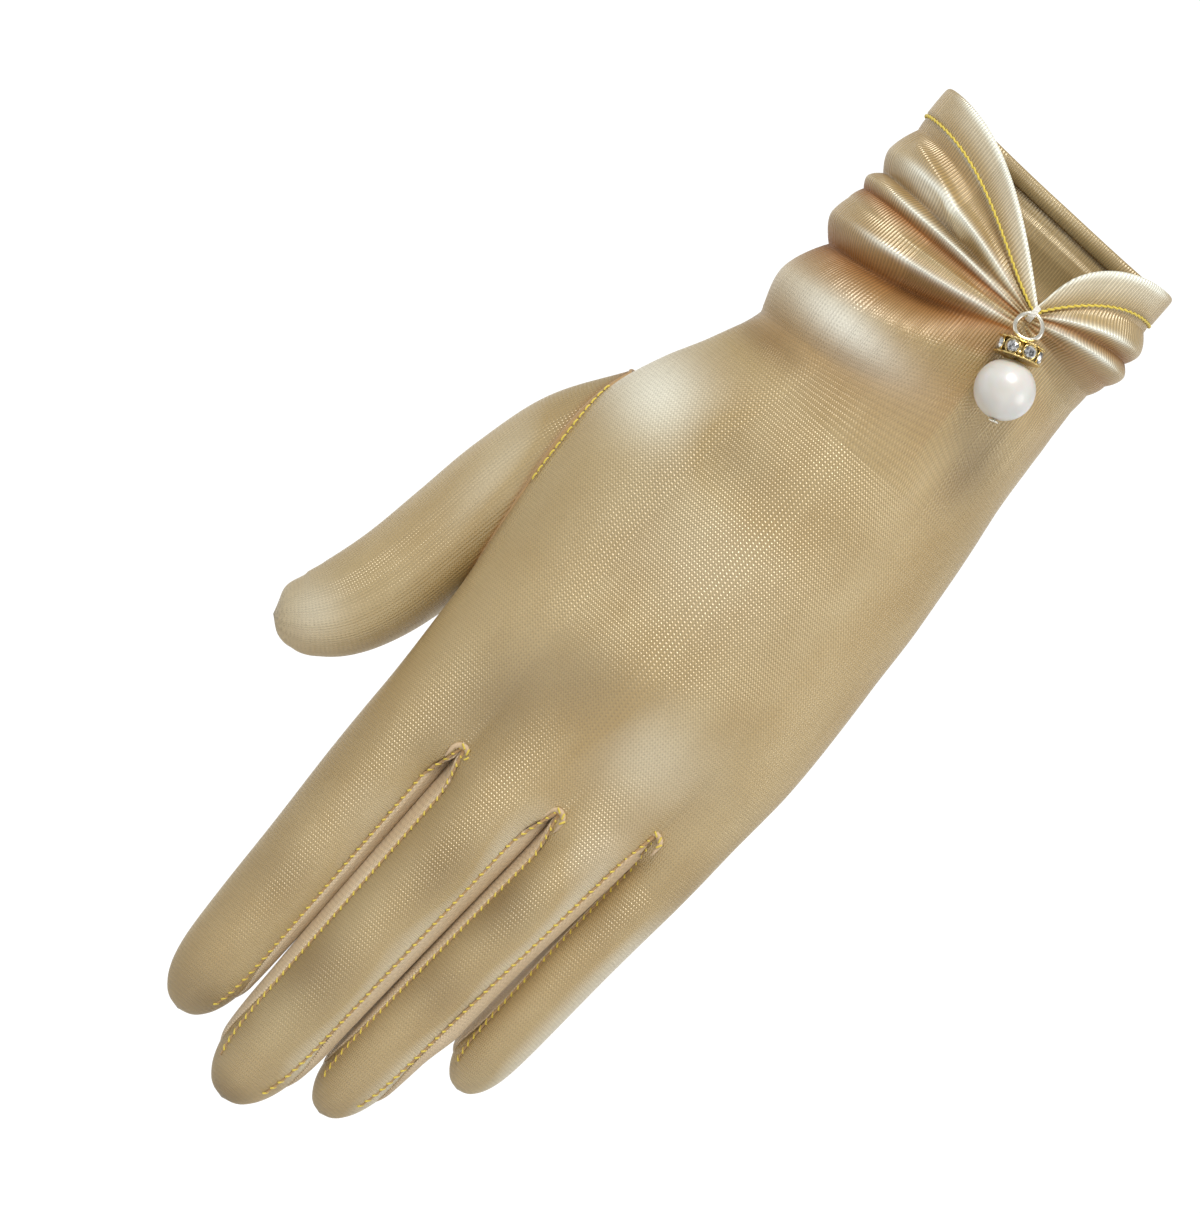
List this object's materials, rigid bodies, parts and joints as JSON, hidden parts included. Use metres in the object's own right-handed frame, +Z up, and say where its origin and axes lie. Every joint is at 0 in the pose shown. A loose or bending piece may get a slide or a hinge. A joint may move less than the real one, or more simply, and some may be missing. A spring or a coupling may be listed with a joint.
{
  "type": "wrist length dress glove",
  "caption": "Satin dress glove for the left hand in its worn form, with a gathered flaring cuff, side strips between the fingers and a small pearl drop tied at the gather.",
  "frame": {"origin": "the middle of the wrist, level with the gathered point of the cuff, where the glove sits on the wrist that holds it up", "axes": "+Z runs up the forearm and the fingers hang towards -Z; the back of the hand faces -Y; the thumb lies towards -X"},
  "size_m": [0.0987, 0.0494, 0.2358],
  "materials": {
    "satin": "champagne gold knitted satin with a soft sheen",
    "side_cloth": "paler champagne gold knitted satin",
    "thread": "white sewing thread",
    "gold": "polished gold plate",
    "crystal": "clear cut stone",
    "pearl": "cream white pearl"
  },
  "bodies": {
    "root": {"trank": "satin", "thumb": "satin", "fourchette_index_middle": "side_cloth", "fourchette_middle_ring": "side_cloth", "fourchette_ring_little": "side_cloth", "thread_tie": "thread", "head_pin": "gold", "rondelle": "gold", "stone_1": "crystal", "stone_2": "crystal", "stone_3": "crystal", "stone_4": "crystal", "stone_5": "crystal", "stone_6": "crystal", "stone_7": "crystal", "pearl": "pearl"}
  },
  "joints": []
}
